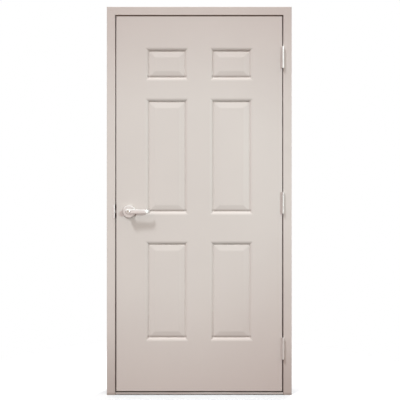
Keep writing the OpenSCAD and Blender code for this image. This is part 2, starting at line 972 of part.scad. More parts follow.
module latch_case() {
    color(steel_colour)
        difference() {
            on_lock_edge()
                translate([faceplate_t, 0, 0])
                    rotate([0, 90, 0])
                        cylinder(d = edge_bore_d - 2*touch_gap, h = case_l);
            bolt_passage(0, faceplate_t + case_l - case_end_t);
            on_lock_edge()
                translate([0, -tail_w/2 - bolt_clear, -tail_h/2 - bolt_clear])
                    cube([backset, tail_w + 2*bolt_clear, tail_h + 2*bolt_clear]);
        }
}

// Bolt with its slope on the side that meets the strike as the leaf closes, and its tail
module latch_bolt() {
    color(bright_colour)
        on_lock_edge() {
            translate([0, 0, -bolt_h/2])
                linear_extrude(bolt_h)
                    polygon([
                        [bolt_body_l, -bolt_w/2],
                        [bolt_body_l, bolt_w/2],
                        [0, bolt_w/2],
                        [-latch_throw, bolt_w*bolt_nose_share - bolt_w/2],
                        [-latch_throw, -bolt_w/2]
                    ]);
            translate([bolt_body_l, -tail_w/2, -tail_h/2])
                cube([tail_end - bolt_body_l, tail_w, tail_h]);
        }
}

// Coil between the bolt and the end of its case, round the tail
module latch_spring() {
    start = bolt_body_l + spring_wire_d/2;
    end = faceplate_t + case_l - case_end_t - spring_wire_d/2;
    r = bolt_w/2 - spring_wire_d/2;
    n = spring_turns*spring_steps;
    rings = [for (i = [0:n])
        let (a = 360*i/spring_steps)
        [for (j = [0:spring_sides - 1])
            let (b = 360*j/spring_sides, reach = r + spring_wire_d/2*cos(b))
            [start + (end - start)*i/n + spring_wire_d/2*sin(b), reach*cos(a), reach*sin(a)]]];
    color(steel_colour)
        on_lock_edge()
            loft(rings);
}

// A closed solid through rings of points that all have the same count
module loft(rings) {
    m = len(rings[0]);
    last = len(rings) - 1;
    polyhedron(
        points = [for (ring = rings) each ring],
        faces = concat(
            [[for (j = [0:m - 1]) j]],
            [for (k = [0:last - 1], j = [0:m - 1]) [k*m + j, (k + 1)*m + j, (k + 1)*m + (j + 1) % m]],
            [for (k = [0:last - 1], j = [0:m - 1]) [k*m + j, (k + 1)*m + (j + 1) % m, k*m + (j + 1) % m]],
            [[for (j = [m - 1:-1:0]) last*m + j]]
        )
    );
}

// Strike: a plate in the jamb's rabbet with a lip over the frame's face, backed by a plate and a box

strike_t = frame_t;
strike_front = leaf_mid_y - strike_w/2 - front_y;
strike_room = 2;
strike_screw_d = 5;
strike_screw_l = 13;
strike_screw_share = 0.42;
strike_backing_t = 2.7;
strike_backing_end = 22;
lip_bend_r = 3.2;
lip_y = front_y - strike_t - fit_gap;
dust_wall = 1;

// The rabbet face behind the latch, with X into the jamb, drawn on the hinge side
module on_strike_axis() {
    translate([rabbet_x, leaf_mid_y, lock_z])
        children();
}

module bolt_window(x0, x1, room) {
    on_strike_axis()
        translate([x0, -bolt_w/2 - room, -bolt_h/2 - room])
            cube([x1 - x0, bolt_w + 2*room, bolt_h + 2*room]);
}

module strike_screw_places() {
    for (side = [-1, 1])
        on_strike_axis()
            translate([0, 0, side*strike_h*strike_screw_share])
                rotate([0, -90, 0])
                    children();
}

module strike_plate() {
    lip_path = [[lip_w, lip_y], [0, lip_y], [0, front_y + strike_front]];
    color(bright_colour)
        on_strike_side()
            difference() {
                union() {
                    on_strike_axis()
                        translate([0, -strike_w/2, -strike_h/2])
                            cube([strike_t, strike_w, strike_h]);
                    translate([rabbet_x, 0, lock_z - lip_h/2])
                        linear_extrude(lip_h)
                            sheet_section(lip_path, lip_bend_r, strike_t);
                }
                bolt_window(-overrun, strike_t + overrun, strike_room);
                strike_screw_places()
                    screw_hole(strike_screw_d, strike_t + overrun);
            }
}

module strike_screws() {
    color(bright_colour)
        on_strike_side()
            strike_screw_places()
                driven_screw(strike_screw_d, strike_screw_l);
}

module strike_reinforcement() {
    height = strike_h + 2*strike_backing_end;
    color(steel_colour)
        on_strike_side()
            difference() {
                translate([rabbet_x + frame_t, front_y + frame_t + backing_edge, lock_z - height/2])
                    cube([strike_backing_t, backing_w, height]);
                bolt_window(0, frame_t + strike_backing_t + overrun, strike_room);
                strike_screw_places()
                    screw_hole(strike_screw_d, strike_screw_l + overrun);
            }
}

module dust_box() {
    start = frame_t + strike_backing_t;
    color(steel_colour)
        on_strike_side()
            difference() {
                bolt_window(start, start + dust_box_d, strike_room + dust_wall);
                bolt_window(0, start + dust_box_d - dust_wall, strike_room);
            }
}

// Lock: chassis in the bore, plates and roses on both faces, levers on one spindle

rose_wall = 1.4;
rose_round_share = 0.6;
rose_clear = 0.5;
mounting_plate_t = 2.5;
mounting_bolt_d = 4.8;
mounting_bolt_share = 0.39;
bolt_head_share = 0.55;
spindle_wall = 2.5;
spindle_reach = 30;
latch_window_h = 20;
latch_window_w = 12;

module mounting_bolt_places() {
    for (side = [-1, 1])
        on_lock_axis()
            translate([0, side*chassis_d*mounting_bolt_share, 0])
                children();
}

module lock_chassis() {
    color(steel_colour)
        difference() {
            on_lock_axis()
                translate([0, 0, -leaf_t])
                    cylinder(d = chassis_d, h = leaf_t);
            lock_bore(spindle_d + 2*turn_clear);
            on_lock_edge()
                translate([0, -latch_window_w/2, -latch_window_h/2])
                    cube([backset, latch_window_w, latch_window_h]);
            mounting_bolt_places()
                translate([0, 0, -leaf_t - overrun])
                    cylinder(d = mounting_bolt_d + 2*screw_clear, h = leaf_t + 2*overrun);
        }
}

module mounting_plate() {
    difference() {
        on_lock_axis()
            cylinder(d = rose_d - 2*rose_wall - 2*touch_gap, h = mounting_plate_t);
        on_lock_axis()
            translate([0, 0, -overrun])
                cylinder(d = shank_d, h = mounting_plate_t + 2*overrun);
        mounting_bolt_places()
            translate([0, 0, -overrun])
                cylinder(d = mounting_bolt_d + 2*screw_clear, h = mounting_plate_t + 2*overrun);
    }
}

module front_mounting_plate() {
    color(steel_colour)
        mounting_plate();
}

module rear_mounting_plate() {
    color(steel_colour)
        on_rear()
            mounting_plate();
}

// Bolts with their heads under the rear rose
module mounting_bolts() {
    length = leaf_t + 2*mounting_plate_t;
    color(steel_colour)
        mounting_bolt_places() {
            translate([0, 0, mounting_plate_t - length])
                cylinder(d = mounting_bolt_d, h = length);
            translate([0, 0, mounting_plate_t - length - mounting_bolt_d*bolt_head_share])
                cylinder(d = mounting_bolt_d*head_share, h = mounting_bolt_d*bolt_head_share);
        }
}

// Pressed cup with a rounded shoulder and a hole for the lever's shank
module rose() {
    r = rose_d/2;
    round_r = rose_h*rose_round_share;
    centre = [r - round_r, rose_h - round_r];
    on_lock_axis()
        rotate_extrude()
            polygon(concat(
                [[r, 0]],
                arc(centre, round_r, 0, 90),
                [[shank_d/2 + rose_clear, rose_h], [shank_d/2 + rose_clear, rose_h - rose_wall]],
                arc(centre, round_r - rose_wall, 90, 0),
                [[r - rose_wall, 0]]
            ));
}

module front_rose() {
    color(bright_colour)
        rose();
}

module rear_rose() {
    color(bright_colour)
        on_rear()
            rose();
}

module spindle() {
    length = leaf_t + 2*spindle_reach;
    color(steel_colour)
        on_lock_axis()
            translate([0, 0, spindle_reach - length])
                difference() {
                    cylinder(d = spindle_d, h = length);
                    translate([0, 0, -overrun])
                        cylinder(d = spindle_d - 2*spindle_wall, h = length + 2*overrun);
                }
}

// Levers: a turned shank and hub with a tapered arm that curves back to the leaf

hub_out = lever_out + hub_cap;
shank_start = mounting_plate_t + rose_clear;
swell_start_share = 0.45;
swell_end_share = 0.75;
hub_round_share = 0.25;
arm_steps = 14;
arm_sides = 20;
arm_square_share = 0.45;
arm_return_share = 0.27;
arm_tip_steps = 4;
arm_tip_angle = 78;
plug_depth_share = 0.42;
button_stem_d = 9;
button_out = 9;

// Half outline of the shank as it swells into the hub
hub_outline = concat(
    [[0, shank_start], [shank_d/2, shank_start]],
    [for (i = [0:2*bend_steps])
        let (s = i/(2*bend_steps), z_share = swell_start_share + (swell_end_share - swell_start_share)*s)
        [shank_d/2 + (hub_d - shank_d)/2*(1 - cos(180*s))/2, hub_out*z_share]],
    [for (i = [0:bend_steps])
        let (a = 90*i/bend_steps)
        [hub_d/2 - hub_d*hub_round_share*(1 - cos(a)), hub_out - hub_cap/2*(1 - sin(a))]],
    [[0, hub_out]]
);

function blend(a, b, s) = a + (b - a)*s;
function squared(c) = sign(c)*pow(abs(c), arm_square_share);

// Section ring of the arm at distance x, scaled at the rounded tip
function arm_ring(x, size) =
    let (
        s = x/lever_l,
        half_h = blend(arm_root_h, arm_tip_h, s)/2*size,
        half_t = blend(arm_root_t, arm_tip_t, s)/2*size,
        curve = max(0, s - (1 - arm_return_share))/arm_return_share,
        z = lever_out - arm_return*curve*curve
    )
    [for (j = [0:arm_sides - 1])
        let (a = 360*j/arm_sides)
        [x, half_h*squared(cos(a)), z + half_t*squared(sin(a))]];

module lever_arm() {
    tip_l = arm_tip_h/2;
    body = [for (i = [0:arm_steps]) arm_ring((lever_l - tip_l)*i/arm_steps, 1)];
    tip = [for (i = [1:arm_tip_steps])
        let (a = arm_tip_angle*i/arm_tip_steps)
        arm_ring(lever_l - tip_l + tip_l*sin(a)/sin(arm_tip_angle), cos(a))];
    loft(concat(body, tip));
}

module lever(bore) {
    difference() {
        union() {
            rotate_extrude()
                polygon(hub_outline);
            lever_arm();
        }
        translate([0, 0, shank_start - overrun])
            cylinder(d = spindle_d + 2*pin_clear, h = spindle_reach + touch_gap - shank_start + overrun);
        translate([0, 0, hub_out*(1 - plug_depth_share)])
            cylinder(d = bore + 2*turn_clear, h = hub_out*plug_depth_share + overrun);
    }
}

module front_lever() {
    color(bright_colour)
        on_lock_axis()
            lever(plug_d);
}

module rear_lever() {
    color(bright_colour)
        on_rear()
            on_lock_axis()
                lever(button_stem_d);
}

// Keyed plug in the front hub
keyway_w_share = 0.14;
keyway_h_share = 0.62;
keyway_depth_share = 0.5;

module key_plug() {
    length = hub_out*plug_depth_share - touch_gap;
    keyway_w = plug_d*keyway_w_share;
    keyway_h = plug_d*keyway_h_share;
    keyway_d = length*keyway_depth_share;
    color(steel_colour)
        on_lock_axis()
            difference() {
                translate([0, 0, hub_out - length])
                    cylinder(d = plug_d, h = length);
                translate([-keyway_w/2, -keyway_h/2, hub_out - keyway_d])
                    cube([keyway_w, keyway_h, keyway_d + overrun]);
            }
}

// Thumb turn in the rear hub
button_d_share = 0.55;
button_bar_share = 0.3;
button_disc_share = 0.3;

module turn_button() {
    length = hub_out*plug_depth_share - touch_gap;
    d = hub_d*button_d_share;
    color(bright_colour)
        on_rear()
            on_lock_axis() {
                translate([0, 0, hub_out - length])
                    cylinder(d = button_stem_d, h = length + touch_gap);
                translate([0, 0, hub_out + touch_gap]) {
                    cylinder(d = d, h = button_out*button_disc_share);
                    intersection() {
                        cylinder(d = d, h = button_out);
                        translate([-d*button_bar_share/2, -d/2, 0])
                            cube([d*button_bar_share, d, button_out]);
                    }
                }
            }
}

hinge_jamb();
strike_jamb();
head_jamb();
sill();
sill_screws();
hinge_jamb_seal();
strike_jamb_seal();
head_seal();
hinge_jamb_spacers();
strike_jamb_spacers();
hinge_reinforcements();
strike_reinforcement();
strike_plate();
strike_screws();
dust_box();
top_hinge_frame_plate();
middle_hinge_frame_plate();
bottom_hinge_frame_plate();
top_hinge_pin();
middle_hinge_pin();
bottom_hinge_pin();
frame_hinge_screws();
front_skin();
rear_skin();
hinge_stile();
lock_stile();
top_rail();
bottom_rail();
lock_block();
foam_core();
door_sweep();
top_hinge_door_plate();
middle_hinge_door_plate();
bottom_hinge_door_plate();
door_hinge_screws();
latch_faceplate();
latch_screws();
latch_case();
latch_spring();
latch_bolt();
lock_chassis();
front_mounting_plate();
rear_mounting_plate();
mounting_bolts();
front_rose();
rear_rose();
front_lever();
rear_lever();
spindle();
key_plug();
turn_button();
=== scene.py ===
import math

import bmesh
import bpy
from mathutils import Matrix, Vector


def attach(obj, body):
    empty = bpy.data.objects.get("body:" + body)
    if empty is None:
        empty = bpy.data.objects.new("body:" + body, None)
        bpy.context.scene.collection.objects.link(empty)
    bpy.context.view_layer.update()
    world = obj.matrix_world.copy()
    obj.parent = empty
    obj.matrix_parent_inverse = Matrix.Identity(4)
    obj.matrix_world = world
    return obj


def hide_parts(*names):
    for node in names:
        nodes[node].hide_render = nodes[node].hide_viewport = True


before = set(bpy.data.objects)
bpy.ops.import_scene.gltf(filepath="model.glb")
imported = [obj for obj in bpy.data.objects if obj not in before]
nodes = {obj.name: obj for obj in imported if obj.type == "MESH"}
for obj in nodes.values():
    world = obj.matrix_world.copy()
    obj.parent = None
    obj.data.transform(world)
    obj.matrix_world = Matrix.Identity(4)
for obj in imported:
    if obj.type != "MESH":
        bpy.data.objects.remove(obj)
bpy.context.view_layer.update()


# Frame. Two jambs and a head are rolled from steel sheet, mitred and welded at the corners, and sprayed with
# a satin paint that leaves a fine orange peel. The stops carry the fixing holes. Painted shade lines the gap,
# darkens the paint towards the floor and lays a painted contact shadow along its foot.
def new_finish(name, colour, roughness, metallic=0.0):
    """A finish with its node tree, its shader and the piece's own coordinates."""
    finish = bpy.data.materials.new(name)
    finish.use_nodes = True
    tree = finish.node_tree
    shader = tree.nodes["Principled BSDF"]
    shader.inputs["Base Color"].default_value = (*colour, 1.0)
    shader.inputs["Roughness"].default_value = roughness
    shader.inputs["Metallic"].default_value = metallic
    place = tree.nodes.new("ShaderNodeTexCoord").outputs["Object"]
    return finish, tree, shader, place


def mottle(tree, place, scale, detail=3.0, stretch=(1.0, 1.0, 1.0)):
    """Uneven patches of the given size, drawn out along an axis where stretch is small."""
    turn = tree.nodes.new("ShaderNodeMapping")
    turn.inputs["Scale"].default_value = stretch
    tree.links.new(place, turn.inputs["Vector"])
    noise = tree.nodes.new("ShaderNodeTexNoise")
    noise.inputs["Scale"].default_value = scale
    noise.inputs["Detail"].default_value = detail
    tree.links.new(turn.outputs["Vector"], noise.inputs["Vector"])
    return noise.outputs["Fac"]


def spread(tree, value, low, high, start=0.3, end=0.7):
    """A pattern's value spread from low to high."""
    ramp = tree.nodes.new("ShaderNodeMapRange")
    ramp.inputs["From Min"].default_value = start
    ramp.inputs["From Max"].default_value = end
    ramp.inputs["To Min"].default_value = low
    ramp.inputs["To Max"].default_value = high
    tree.links.new(value, ramp.inputs["Value"])
    return ramp.outputs["Result"]


def two_tone(tree, value, first, second):
    """A colour between two tones, by a pattern's value."""
    mix = tree.nodes.new("ShaderNodeMix")
    mix.data_type = "RGBA"
    mix.inputs["A"].default_value = (*first, 1.0)
    mix.inputs["B"].default_value = (*second, 1.0)
    tree.links.new(value, mix.inputs["Factor"])
    return mix.outputs["Result"]


def overlaid(tree, colour, amount, overlay):
    """A colour with a second colour laid over it by a pattern's value, for dirt, wear and painted shade."""
    mix = tree.nodes.new("ShaderNodeMix")
    mix.data_type = "RGBA"
    mix.inputs["B"].default_value = (*overlay, 1.0)
    tree.links.new(colour, mix.inputs["A"])
    tree.links.new(amount, mix.inputs["Factor"])
    return mix.outputs["Result"]


def coordinates(tree, place):
    """How far across the door, how deep in it and how high a place on the piece is."""
    parts = tree.nodes.new("ShaderNodeSeparateXYZ")
    tree.links.new(place, parts.inputs["Vector"])
    return parts.outputs["X"], parts.outputs["Y"], parts.outputs["Z"]


def low_down(tree, place, full, none, most=1.0):
    """A value that falls from most, at the height full, to zero at the height none."""
    height = coordinates(tree, place)[2]
    return spread(tree, height, most, 0.0, full, none)


def reckon(tree, operation, first, second=0.0):
    """One step of arithmetic with two values, each a pattern's or a number."""
    step = tree.nodes.new("ShaderNodeMath")
    step.operation = operation
    for socket, term in zip(step.inputs, (first, second)):
        if isinstance(term, float):
            socket.default_value = term
        else:
            tree.links.new(term, socket)
    return step.outputs["Value"]


def shade_beside_gap(tree, place, most):
    """Painted shade along both sides of the gap round the leaf: at its head, by the latch and low down."""
    gap_side, gap_head, face, arris = 0.45285, 2.056, -0.057, -0.050
    unshaded_width, shade_band_width = 0.0064, 0.0032
    latch_height, latch_reach, latch_fade = 0.9945, 0.034, 0.048
    across, deep, height = coordinates(tree, place)
    from_side = reckon(tree, "SUBTRACT", reckon(tree, "ABSOLUTE", across), gap_side)
    from_head = reckon(tree, "SUBTRACT", height, gap_head)
    from_gap = reckon(tree, "ABSOLUTE", reckon(tree, "MAXIMUM", from_side, from_head))
    near = spread(tree, from_gap, most, 0.0, shade_band_width, unshaded_width)
    near = reckon(tree, "MULTIPLY", near, spread(tree, deep, 1.0, 0.0, face, arris))
    low_part = spread(tree, height, 0.55, 0.0, 0.4, 1.25)
    head_part = spread(tree, height, 0.0, 0.5, 1.8, 2.06)
    from_latch = reckon(tree, "ABSOLUTE", reckon(tree, "SUBTRACT", height, latch_height))
    lock_side = spread(tree, across, 1.0, 0.0, -0.1, 0.1)
    latch_part = spread(tree, from_latch, 1.0, 0.0, latch_reach, latch_fade)
    latch_part = reckon(tree, "MULTIPLY", latch_part, lock_side)
    part = reckon(tree, "MAXIMUM", latch_part, reckon(tree, "MAXIMUM", low_part, head_part))
    return reckon(tree, "MULTIPLY", near, part)


def relief(tree, shader, value, depth, strength=1.0):
    """Fine unevenness of the surface, from a pattern's value."""
    bump = tree.nodes.new("ShaderNodeBump")
    bump.inputs["Distance"].default_value = depth
    bump.inputs["Strength"].default_value = strength
    tree.links.new(value, bump.inputs["Height"])
    tree.links.new(bump.outputs["Normal"], shader.inputs["Normal"])


def softened(node, body, finish, round_over=0.0, mitred=False):
    """A merged copy of a solid, with its sharp edges rounded over, that stands for it.

    On a mitred piece the slanting edges, where mouldings meet at a corner, stay crisp.
    """
    shape = bmesh.new()
    shape.from_mesh(nodes[node].data)
    bmesh.ops.remove_doubles(shape, verts=shape.verts, dist=1e-6)
    bmesh.ops.dissolve_limit(shape, angle_limit=math.radians(0.5), verts=shape.verts, edges=shape.edges)
    if round_over:
        sharp = [e for e in shape.edges if e.is_manifold and e.calc_face_angle() > math.radians(35)]
        bmesh.ops.bevel(shape, geom=sharp, offset=round_over, offset_type="OFFSET", segments=2, profile=0.5,
                        affect="EDGES", clamp_overlap=True, material=-1)
    for face in shape.faces:
        face.smooth = True
    for edge in shape.edges:
        run = edge.verts[1].co - edge.verts[0].co
        slanting = min(abs(run.x), abs(run.z)) > 0.3 * run.length
        gentle = edge.is_manifold and edge.calc_face_angle() < math.radians(32)
        edge.smooth = gentle and not (mitred and slanting)
    mesh = bpy.data.meshes.new(node + "_finished")
    shape.to_mesh(mesh)
    shape.free()
    mesh.materials.append(finish)
    piece = bpy.data.objects.new(node + "_finished", mesh)
    bpy.context.scene.collection.objects.link(piece)
    even = piece.modifiers.new("even_normals", "WEIGHTED_NORMAL")
    even.keep_sharp = True
    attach(piece, body)
    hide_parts(node)
    return piece


floor_shade, gap_shade = (0.26, 0.22, 0.19), (0.125, 0.072, 0.054)
frame_paint, tree, shader, place = new_finish("frame_paint", (0.66, 0.60, 0.56), 0.42)
cloud = mottle(tree, place, 5.0, 4.0)
tone = two_tone(tree, spread(tree, cloud, 0.0, 1.0), (0.675, 0.614, 0.573), (0.645, 0.586, 0.547))
# Painted shade: the paint darkens towards the floor, a painted contact shadow runs along its foot, and
# painted shade lines the gap.
tone = overlaid(tree, tone, low_down(tree, place, 0.06, 0.36, 0.22), floor_shade)
tone = overlaid(tree, tone, low_down(tree, place, 0.001, 0.016, 0.75), floor_shade)
tone = overlaid(tree, tone, shade_beside_gap(tree, place, 0.9), gap_shade)
tree.links.new(tone, shader.inputs["Base Color"])
tree.links.new(spread(tree, mottle(tree, place, 60.0), 0.36, 0.5), shader.inputs["Roughness"])
relief(tree, shader, mottle(tree, place, 520.0, 2.0), 0.00025, 0.35)
for node in ("hinge_jamb", "strike_jamb", "head_jamb"):
    softened(node, "frame", frame_paint)

# Sill. An extruded aluminium saddle with bevelled sides and a fluted tread, screwed down between the jambs.
# The die leaves streaks along it, shoes scuff the tread, and painted shade darkens its foot at the floor.
foot_dirt_and_shade, shoe_scuffs = (0.15, 0.13, 0.115), (0.30, 0.28, 0.26)
sill_metal, tree, shader, place = new_finish("sill_metal", (0.74, 0.73, 0.71), 0.45, 1.0)
streaks = mottle(tree, place, 140.0, 4.0, (0.02, 1.0, 1.0))
tone = two_tone(tree, spread(tree, streaks, 0.0, 1.0), (0.90, 0.89, 0.87), (0.77, 0.76, 0.74))
# Painted shade: the sill's foot is darkened along the floor.
tone = overlaid(tree, tone, low_down(tree, place, 0.0055, 0.0105, 0.95), foot_dirt_and_shade)
scuffs = spread(tree, mottle(tree, place, 16.0, 5.0), 0.45, 0.8)
tread = reckon(tree, "SUBTRACT", 1.0, low_down(tree, place, 0.0132, 0.0146))
tone = overlaid(tree, tone, reckon(tree, "MULTIPLY", tread, scuffs), shoe_scuffs)
tree.links.new(tone, shader.inputs["Base Color"])
tree.links.new(spread(tree, mottle(tree, place, 9.0), 0.3, 0.55), shader.inputs["Roughness"])
relief(tree, shader, streaks, 0.0001, 0.3)
softened("sill", "frame", sill_metal, round_over=0.0004)

# Plated steel. Screws, spacers, reinforcements and the lock's inner works are zinc plated; the plating has
# a faint spangle, and most of these pieces are hidden once the door is hung.
plated_steel, tree, shader, place = new_finish("plated_steel", (0.55, 0.56, 0.57), 0.38, 1.0)
spangle = mottle(tree, place, 180.0, 2.0)
tree.links.new(two_tone(tree, spread(tree, spangle, 0.0, 1.0), (0.60, 0.61, 0.61), (0.47, 0.48, 0.49)),
               shader.inputs["Base Color"])
tree.links.new(spread(tree, spangle, 0.28, 0.48), shader.inputs["Roughness"])
for node in ("sill_screws", "hinge_jamb_spacers", "strike_jamb_spacers", "hinge_reinforcements",
             "strike_reinforcement", "dust_box"):
    softened(node, "frame", plated_steel, round_over=0.0002)
for node in ("latch_case", "latch_spring", "lock_chassis", "front_mounting_plate", "rear_mounting_plate",
             "mounting_bolts"):
    softened(node, "leaf", plated_steel)
softened("spindle", "handle", plated_steel)

# Seals. Black extruded rubber strips are stuck to the stops, and a finned rubber sweep is fixed under the
# leaf. Dust greys them, most of all near the floor.
seal_rubber, tree, shader, place = new_finish("seal_rubber", (0.03, 0.028, 0.026), 0.75)
dust = mottle(tree, place, 40.0, 5.0)
tone = two_tone(tree, spread(tree, dust, 0.0, 1.0), (0.022, 0.021, 0.020), (0.06, 0.056, 0.052))
tone = overlaid(tree, tone, low_down(tree, place, 0.015, 0.045, 0.7), foot_dirt_and_shade)
tree.links.new(tone, shader.inputs["Base Color"])
relief(tree, shader, mottle(tree, place, 900.0), 0.0001, 0.4)
for node in ("hinge_jamb_seal", "strike_jamb_seal", "head_seal"):
    softened(node, "frame", seal_rubber)
softened("door_sweep", "leaf", seal_rubber)


# Hinges. Three steel butt hinges, plated with satin chrome: flat plates let into the frame and the leaf, five
# knuckles rolled round a loose pin with button tips, and countersunk screws.
def satin_plating(name, latch_shade=0.0):
    """Satin chrome, with painted shade on what stands inside the gap by the latch, as strong as the second
    argument.
    """
    plating, tree, shader, place = new_finish(name, (0.80, 0.79, 0.77), 0.4, 1.0)
    rub = mottle(tree, place, 260.0, 3.0, (1.0, 1.0, 0.06))
    tree.links.new(spread(tree, rub, 0.34, 0.46), shader.inputs["Roughness"])
    patches = spread(tree, mottle(tree, place, 30.0), 0.0, 1.0)
    tone = two_tone(tree, patches, (0.84, 0.83, 0.81), (0.76, 0.75, 0.73))
    # Painted shade on the plating inside the gap, beside the latch.
    if latch_shade:
        across, deep = coordinates(tree, place)[:2]
        inside = spread(tree, across, 0.0, latch_shade, -0.4572, -0.4560)
        inside = reckon(tree, "MULTIPLY", inside, spread(tree, deep, 1.0, 0.15, -0.053, -0.046))
        tone = overlaid(tree, tone, inside, (0.06, 0.034, 0.027))
    tree.links.new(tone, shader.inputs["Base Color"])
    relief(tree, shader, rub, 0.00004, 0.3)
    return plating


satin_chrome = satin_plating("satin_chrome")
for level in ("top", "middle", "bottom"):
    softened(level + "_hinge_frame_plate", "frame", satin_chrome, round_over=0.0004)
    softened(level + "_hinge_pin", "frame", satin_chrome, round_over=0.0003)
    softened(level + "_hinge_door_plate", "leaf", satin_chrome, round_over=0.0004)
softened("frame_hinge_screws", "frame", satin_chrome, round_over=0.0002)
softened("door_hinge_screws", "leaf", satin_chrome, round_over=0.0002)

# Strike. A pressed plate of plated steel, let into the strike jamb and held by two screws. Its lip curls
# over the frame's face, and painted shade darkens the part of it that stands inside the gap.
strike_chrome = satin_plating("strike_chrome", 0.9)
softened("strike_plate", "frame", strike_chrome, round_over=0.0003)
softened("strike_screws", "frame", satin_chrome, round_over=0.0003)


# Leaf core. Planed softwood stiles, rails and a lock block are glued round a slab of foam. The wood shows
# between the hems of the two skins.
def planed_wood(name, along):
    """Softwood whose grain runs along the axis where along is small."""
    wood, tree, shader, place = new_finish(name, (0.55, 0.36, 0.19), 0.6)
    rings = mottle(tree, place, 55.0, 5.0, along)
    tree.links.new(two_tone(tree, spread(tree, rings, 0.0, 1.0), (0.60, 0.41, 0.23), (0.44, 0.27, 0.13)),
                   shader.inputs["Base Color"])
    tree.links.new(spread(tree, rings, 0.5, 0.72), shader.inputs["Roughness"])
    relief(tree, shader, rings, 0.0003, 0.3)
    return wood


upright_wood = planed_wood("upright_wood", (1.0, 1.0, 0.035))
level_wood = planed_wood("level_wood", (0.035, 1.0, 1.0))
for node in ("hinge_stile", "lock_stile", "lock_block"):
    softened(node, "leaf", upright_wood)
for node in ("top_rail", "bottom_rail"):
    softened(node, "leaf", level_wood)
core_foam, tree, shader, place = new_finish("core_foam", (0.78, 0.66, 0.42), 0.9)
cells = mottle(tree, place, 350.0, 2.0)
tree.links.new(two_tone(tree, cells, (0.82, 0.71, 0.47), (0.70, 0.58, 0.36)), shader.inputs["Base Color"])
relief(tree, shader, cells, 0.0006, 0.5)
softened("foam_core", "leaf", core_foam)


# Leaf skins. Each is one steel sheet, pressed with six raised panels and hemmed over the stiles, then painted
# with the same warm off-white. Cleaning leaves faint clouds in the satin; painted shade lines the gap and the
# panels' feet.
def shade_at_panel_feet(tree, place, most):
    """Painted shade along the foot of each panel's lower bevel, on both faces of the leaf."""
    feet, fade_up, fade_down = (0.3145, 0.9995, 1.7275), 0.0115, 0.003
    leaf_middle, panel_field, leaf_face = -0.03815, 0.0190, 0.0205
    deep, height = coordinates(tree, place)[1:]
    from_middle = reckon(tree, "ABSOLUTE", reckon(tree, "SUBTRACT", deep, leaf_middle))
    overlay = 0.0
    for foot in feet:
        rise = reckon(tree, "SUBTRACT", height, foot)
        line = reckon(tree, "MULTIPLY", spread(tree, rise, 1.0, 0.0, 0.0, fade_up),
                      spread(tree, rise, 0.0, 1.0, -fade_down, 0.0))
        overlay = reckon(tree, "MAXIMUM", line, overlay)
    return reckon(tree, "MULTIPLY", overlay, spread(tree, from_middle, most, 0.0, panel_field, leaf_face))


leaf_paint, tree, shader, place = new_finish("leaf_paint", (0.658, 0.603, 0.565), 0.4)
cloud = mottle(tree, place, 3.2, 5.0)
tone = two_tone(tree, spread(tree, cloud, 0.0, 1.0), (0.668, 0.612, 0.573), (0.648, 0.594, 0.557))
# Painted shade along the gap round the leaf and at the foot of each panel.
tone = overlaid(tree, tone, shade_beside_gap(tree, place, 0.9), gap_shade)
tone = overlaid(tree, tone, shade_at_panel_feet(tree, place, 0.42), gap_shade)
tree.links.new(tone, shader.inputs["Base Color"])
tree.links.new(spread(tree, mottle(tree, place, 45.0), 0.36, 0.48), shader.inputs["Roughness"])
relief(tree, shader, mottle(tree, place, 420.0, 2.0), 0.0003, 0.35)
for node in ("front_skin", "rear_skin"):
    softened(node, "leaf", leaf_paint, mitred=True)

# Latch. A plated steel faceplate is let into the lock edge with two screws, and the sloped bolt slides
# through it.
for node in ("latch_faceplate", "latch_screws"):
    softened(node, "leaf", satin_chrome, round_over=0.0003)
softened("latch_bolt", "latch", satin_chrome, round_over=0.0004)

# Lever sets. Pressed roses on both faces, cast levers on one spindle, a brass plug with its keyway outside
# and a turn button inside. All but the plug are plated to match the hinges.
for node in ("front_rose", "rear_rose"):
    softened(node, "leaf", satin_chrome, round_over=0.0004)
for node in ("front_lever", "rear_lever"):
    softened(node, "handle", satin_chrome)
plug_brass, tree, shader, place = new_finish("plug_brass", (0.72, 0.70, 0.64), 0.32, 1.0)
turning = mottle(tree, place, 700.0)
tree.links.new(spread(tree, turning, 0.26, 0.42), shader.inputs["Roughness"])
tree.links.new(two_tone(tree, turning, (0.76, 0.74, 0.68), (0.62, 0.60, 0.54)), shader.inputs["Base Color"])
softened("key_plug", "plug", plug_brass, round_over=0.0002)
softened("turn_button", "button", satin_chrome, round_over=0.0005)

# Studio floor. A pale matt sheet that fades out round the door, so that only a soft shadow is left. It
# throws no light back on the door.
floor_finish, tree, shader, place = new_finish("studio_floor", (0.83, 0.88, 0.9), 0.7)
tree.links.new(spread(tree, mottle(tree, place, 12.0), 0.6, 0.8), shader.inputs["Roughness"])
reach = tree.nodes.new("ShaderNodeVectorMath")
reach.operation = "LENGTH"
tree.links.new(place, reach.inputs[0])
tree.links.new(spread(tree, reach.outputs["Value"], 1.0, 0.0, 0.4, 1.5), shader.inputs["Alpha"])
floor_shape = bmesh.new()
bmesh.ops.create_grid(floor_shape, x_segments=1, y_segments=1, size=30.0)
floor_mesh = bpy.data.meshes.new("studio_floor")
floor_shape.to_mesh(floor_mesh)
floor_shape.free()
floor_mesh.materials.append(floor_finish)
floor = bpy.data.objects.new("studio_floor", floor_mesh)
floor.visible_diffuse = False
floor.visible_glossy = False
bpy.context.scene.collection.objects.link(floor)

# Studio surround. A white tent, warm at its rim and paler at its crown: the upper half lights the door as an
# open sky does, and the lower half is dim. Metal mirrors it softer, with a brighter crown.
rim_light, crown_light = (1.0, 0.739, 0.669), (1.0, 0.90, 0.862)
surround = bpy.data.worlds.new("white_surround")
surround.use_nodes = True
air = surround.node_tree
towards = air.nodes.new("ShaderNodeSeparateXYZ")
air.links.new(air.nodes.new("ShaderNodeTexCoord").outputs["Generated"], towards.inputs["Vector"])
ray = air.nodes.new("ShaderNodeLightPath")


